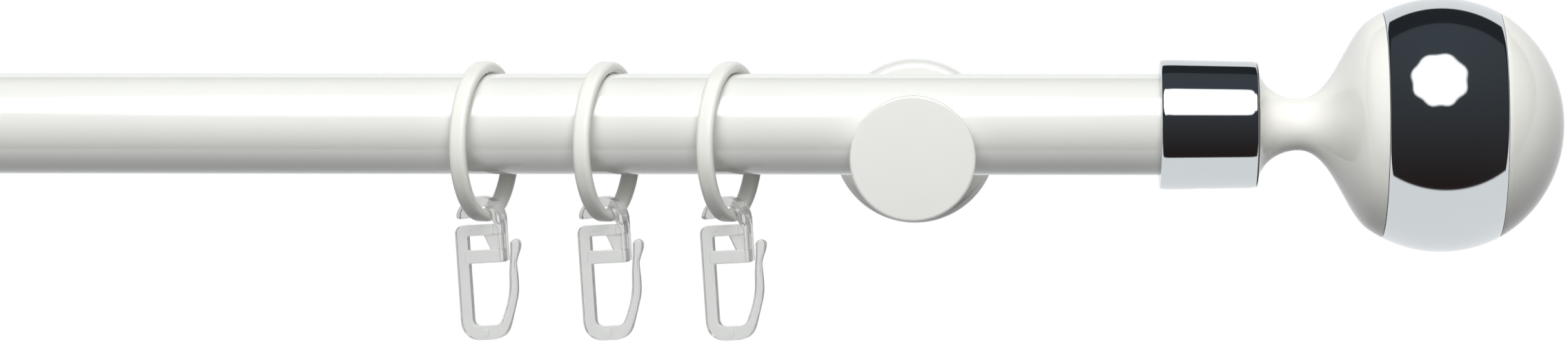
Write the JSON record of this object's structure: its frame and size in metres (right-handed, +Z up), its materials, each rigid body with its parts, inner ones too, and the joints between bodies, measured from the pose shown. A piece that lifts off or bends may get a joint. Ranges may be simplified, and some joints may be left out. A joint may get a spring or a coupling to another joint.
{
  "type": "curtain rod with brackets",
  "caption": "White tube curtain rod on open-top wall brackets, with ball finials banded in chrome and plain rings that carry clear plastic pleat hooks.",
  "frame": {"origin": "on the wall plane, midway between the brackets, at the height of the bracket arms' axes", "axes": "+X along the rod to the right, +Y into the wall, +Z up; the room side is -Y"},
  "size_m": [0.727, 0.0951, 0.0681],
  "materials": {
    "white_lacquer": "gloss white lacquer",
    "white_gloss": "high gloss white",
    "ring_plastic": "satin white plastic",
    "clear_plastic": "clear moulded plastic",
    "chrome": "polished chrome",
    "zinc_steel": "zinc plated",
    "dark_steel": "black oxide"
  },
  "bodies": {
    "brackets": {"bracket_left_arm": "white_lacquer", "bracket_left_wall_plate": "zinc_steel", "bracket_left_rod_screw": "dark_steel", "bracket_left_arm_screw": "dark_steel", "bracket_right_arm": "white_lacquer", "bracket_right_wall_plate": "zinc_steel", "bracket_right_rod_screw": "dark_steel", "bracket_right_arm_screw": "dark_steel"},
    "rod": {"rod_tube": "white_lacquer"},
    "finial_left": {"finial_left_collar": "chrome", "finial_left_neck": "white_gloss", "finial_left_band": "chrome", "finial_left_cap": "white_gloss", "finial_left_tie_rod": "zinc_steel", "finial_left_nut": "zinc_steel", "finial_left_grub_screw": "dark_steel"},
    "finial_right": {"finial_right_collar": "chrome", "finial_right_neck": "white_gloss", "finial_right_band": "chrome", "finial_right_cap": "white_gloss", "finial_right_tie_rod": "zinc_steel", "finial_right_nut": "zinc_steel", "finial_right_grub_screw": "dark_steel"},
    "rosette_left": {"bracket_left_rosette": "white_lacquer"},
    "rosette_right": {"bracket_right_rosette": "white_lacquer"},
    "ring_1": {"ring_1": "ring_plastic"},
    "hook_1": {"hook_1": "clear_plastic"},
    "ring_2": {"ring_2": "ring_plastic"},
    "hook_2": {"hook_2": "clear_plastic"},
    "ring_3": {"ring_3": "ring_plastic"},
    "hook_3": {"hook_3": "clear_plastic"},
    "ring_4": {"ring_4": "ring_plastic"},
    "hook_4": {"hook_4": "clear_plastic"},
    "ring_5": {"ring_5": "ring_plastic"},
    "hook_5": {"hook_5": "clear_plastic"},
    "ring_6": {"ring_6": "ring_plastic"},
    "hook_6": {"hook_6": "clear_plastic"}
  },
  "joints": [
    {"name": "rod_lift", "type": "slide", "parent": "brackets", "child": "rod", "axis": [0, 0, 1], "range_m": [0, 0.018]},
    {"name": "finial_left_pull", "type": "slide", "parent": "rod", "child": "finial_left", "axis": [-1, 0, 0], "range_m": [0, 0.02]},
    {"name": "finial_right_pull", "type": "slide", "parent": "rod", "child": "finial_right", "axis": [1, 0, 0], "range_m": [0, 0.02]},
    {"name": "rosette_left_slide", "type": "slide", "parent": "brackets", "child": "rosette_left", "axis": [0, -1, 0], "range_m": [0, 0.04]},
    {"name": "rosette_right_slide", "type": "slide", "parent": "brackets", "child": "rosette_right", "axis": [0, -1, 0], "range_m": [0, 0.04]},
    {"name": "ring_1_slide", "type": "slide", "parent": "rod", "child": "ring_1", "axis": [1, 0, 0], "range_m": [-0.015, 0.0095]},
    {"name": "hook_1_swing", "type": "hinge", "parent": "ring_1", "child": "hook_1", "pos_m": [-0.1987, -0.07, -0.01213], "axis": [0.2974, 0.9548, 0], "range_deg": [-50, 50]},
    {"name": "ring_2_slide", "type": "slide", "parent": "rod", "child": "ring_2", "axis": [1, 0, 0], "range_m": [-0.0095, 0.0095]},
    {"name": "hook_2_swing", "type": "hinge", "parent": "ring_2", "child": "hook_2", "pos_m": [-0.1743, -0.07, -0.01213], "axis": [0.279, 0.9603, 0], "range_deg": [-50, 50]},
    {"name": "ring_3_slide", "type": "slide", "parent": "rod", "child": "ring_3", "axis": [1, 0, 0], "range_m": [-0.0095, 0.14]},
    {"name": "hook_3_swing", "type": "hinge", "parent": "ring_3", "child": "hook_3", "pos_m": [-0.1499, -0.07, -0.01213], "axis": [0.289, 0.9573, 0], "range_deg": [-50, 50]},
    {"name": "ring_4_slide", "type": "slide", "parent": "rod", "child": "ring_4", "axis": [1, 0, 0], "range_m": [-0.14, 0.0095]},
    {"name": "hook_4_swing", "type": "hinge", "parent": "ring_4", "child": "hook_4", "pos_m": [0.1499, -0.07, -0.01213], "axis": [0.2823, 0.9593, 0], "range_deg": [-50, 50]},
    {"name": "ring_5_slide", "type": "slide", "parent": "rod", "child": "ring_5", "axis": [1, 0, 0], "range_m": [-0.0095, 0.0095]},
    {"name": "hook_5_swing", "type": "hinge", "parent": "ring_5", "child": "hook_5", "pos_m": [0.1743, -0.07, -0.01213], "axis": [0.289, 0.9573, 0], "range_deg": [-50, 50]},
    {"name": "ring_6_slide", "type": "slide", "parent": "rod", "child": "ring_6", "axis": [1, 0, 0], "range_m": [-0.0095, 0.015]},
    {"name": "hook_6_swing", "type": "hinge", "parent": "ring_6", "child": "hook_6", "pos_m": [0.1987, -0.07, -0.01213], "axis": [0.299, 0.9542, 0], "range_deg": [-50, 50]}
  ]
}
